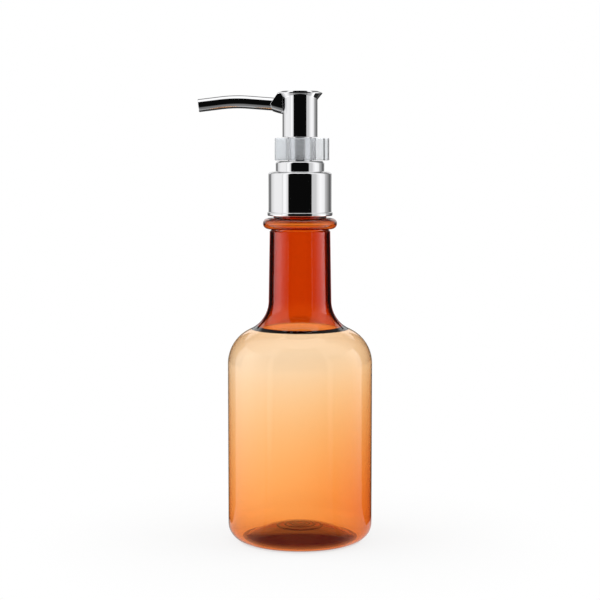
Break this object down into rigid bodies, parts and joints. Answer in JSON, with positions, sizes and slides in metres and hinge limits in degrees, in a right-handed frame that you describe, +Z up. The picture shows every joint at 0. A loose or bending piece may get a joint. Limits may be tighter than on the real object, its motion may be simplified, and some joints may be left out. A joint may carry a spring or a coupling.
{
  "type": "pump bottle",
  "caption": "Long-necked amber bottle with a chrome lotion pump: bent spout, stepped screw collar, sprung head and a clear pull-off locking clip.",
  "frame": {"origin": "on the bottle's axis, in the plane that its foot ring stands on", "axes": "+Z up along the bottle's axis, the spout points along -X at rest, and the clip is pulled off along +X"},
  "size_m": [0.0754, 0.0628, 0.1952],
  "materials": {
    "amber_plastic": "clear amber, polished",
    "chrome": "bright chrome",
    "white_plastic": "moulded, natural white",
    "soft_plastic": "soft, waxy",
    "clear_plastic": "clear moulded",
    "frosted_plastic": "clear, slightly cloudy",
    "spring_steel": "drawn wire",
    "ball_glass": "polished"
  },
  "bodies": {
    "bottle": {"bottle": "amber_plastic"},
    "pump": {"pump_housing": "clear_plastic", "chaplet": "white_plastic", "gasket": "soft_plastic", "dip_tube": "clear_plastic", "return_spring": "spring_steel"},
    "collar": {"collar_shell": "chrome", "closure_cap": "white_plastic"},
    "plunger": {"stem": "clear_plastic", "stem_plug": "clear_plastic"},
    "piston": {"piston": "soft_plastic"},
    "head": {"head_shell": "chrome", "head_core": "white_plastic", "stem_sleeve": "chrome", "spout_tube": "chrome"},
    "ball": {"check_ball": "ball_glass"},
    "clip": {"lock_clip": "frosted_plastic"}
  },
  "joints": [
    {"name": "pump_lift", "type": "slide", "parent": "bottle", "child": "pump", "axis": [0, 0, 1], "range_m": [0, 0.0048]},
    {"name": "collar_turn", "type": "hinge", "parent": "pump", "child": "collar", "pos_m": [0, 0, 0.15], "axis": [0, 0, 1], "range_deg": [0, 540]},
    {"name": "head_press", "type": "slide", "parent": "pump", "child": "plunger", "axis": [0, 0, 1], "range_m": [-0.0095, 0], "stiffness_N_per_m": 800, "springref_m": 0.01, "deforming": ["return_spring"]},
    {"name": "head_swivel", "type": "hinge", "parent": "plunger", "child": "head", "pos_m": [0, 0, 0.183], "axis": [0, 0, 1], "continuous": true},
    {"name": "piston_slip", "type": "slide", "parent": "plunger", "child": "piston", "axis": [0, 0, 1], "range_m": [0, 0.0012]},
    {"name": "ball_lift", "type": "slide", "parent": "pump", "child": "ball", "axis": [0, 0, 1], "range_m": [0, 0.0012]},
    {"name": "clip_pull", "type": "slide", "parent": "pump", "child": "clip", "axis": [-1, 0, 0], "range_m": [-0.03, 0], "deforming": ["lock_clip"]}
  ],
  "couplings": [
    {"joint": "pump_lift", "follows": "collar_turn", "m_per_rad": 0.00050532}
  ]
}
